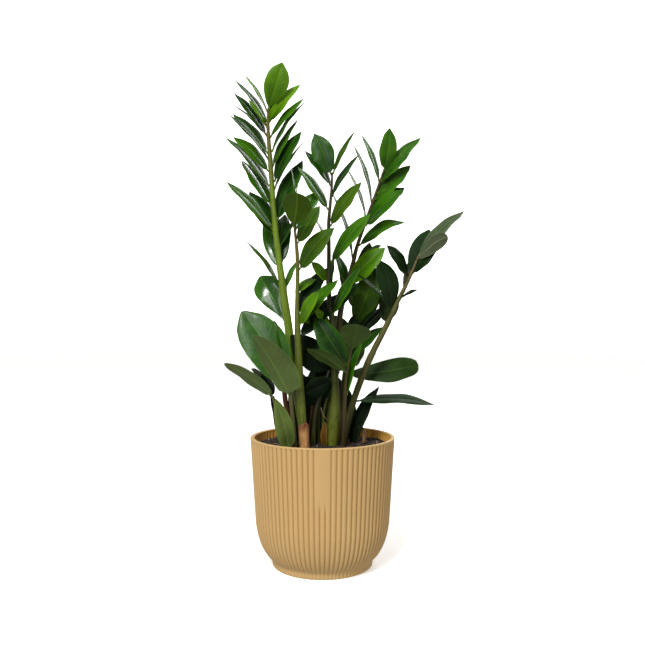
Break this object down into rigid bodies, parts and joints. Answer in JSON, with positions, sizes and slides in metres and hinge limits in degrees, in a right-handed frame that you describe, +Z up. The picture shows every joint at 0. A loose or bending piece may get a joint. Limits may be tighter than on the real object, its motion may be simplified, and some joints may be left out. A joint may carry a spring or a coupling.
{
  "type": "potted zz plant",
  "caption": "Glossy-leaved zz plant with upright fleshy stems, standing in dark soil in a round vertically ribbed plastic pot.",
  "frame": {"origin": "on the floor, at the middle of the flat pad under the pot's foot", "axes": "+Z up along the pot's axis, -Y towards the front of the plant, +X to its right"},
  "size_m": [0.3005, 0.18, 0.622],
  "materials": {
    "pot_plastic": "satin",
    "potting_soil": "matte",
    "rhizome_skin": "matte",
    "stem_green": "satin",
    "dead_stem": "matte",
    "dry_husk": "matte",
    "leaf_green": "gloss"
  },
  "bodies": {
    "root": {"pot": "pot_plastic", "soil": "potting_soil", "rhizome_left": "rhizome_skin", "rhizome_right": "rhizome_skin", "stem_tall": "stem_green", "stem_front": "stem_green", "stem_centre": "stem_green", "stem_right": "stem_green", "stem_leaning": "stem_green", "stem_back": "stem_green", "stem_short_front": "stem_green", "stem_short_left": "stem_green", "stem_low_left": "stem_green", "stem_thin": "stem_green", "stem_dead": "dead_stem", "husk": "dry_husk", "dried_stub": "dry_husk", "leaf_tall_1": "leaf_green", "leaf_tall_2": "leaf_green", "leaf_tall_3": "leaf_green", "leaf_tall_4": "leaf_green", "leaf_tall_5": "leaf_green", "leaf_tall_6": "leaf_green", "leaf_tall_7": "leaf_green", "leaf_tall_8": "leaf_green", "leaf_tall_9": "leaf_green", "leaf_tall_10": "leaf_green", "leaf_tall_11": "leaf_green", "leaf_tall_12": "leaf_green", "leaf_tall_13": "leaf_green", "leaf_tall_14": "leaf_green", "leaf_front_1": "leaf_green", "leaf_front_2": "leaf_green", "leaf_front_3": "leaf_green", "leaf_front_4": "leaf_green", "leaf_front_5": "leaf_green", "leaf_centre_1": "leaf_green", "leaf_centre_2": "leaf_green", "leaf_centre_3": "leaf_green", "leaf_centre_4": "leaf_green", "leaf_right_1": "leaf_green", "leaf_right_2": "leaf_green", "leaf_right_3": "leaf_green", "leaf_right_4": "leaf_green", "leaf_right_5": "leaf_green", "leaf_leaning_1": "leaf_green", "leaf_leaning_2": "leaf_green", "leaf_leaning_3": "leaf_green", "leaf_leaning_4": "leaf_green", "leaf_leaning_5": "leaf_green", "leaf_leaning_6": "leaf_green", "leaf_back_1": "leaf_green", "leaf_back_2": "leaf_green", "leaf_short_front_1": "leaf_green", "leaf_short_front_2": "leaf_green", "leaf_short_front_3": "leaf_green", "leaf_short_left_1": "leaf_green", "leaf_short_left_2": "leaf_green", "leaf_low_left_1": "leaf_green", "leaf_from_soil": "leaf_green"}
  },
  "joints": []
}
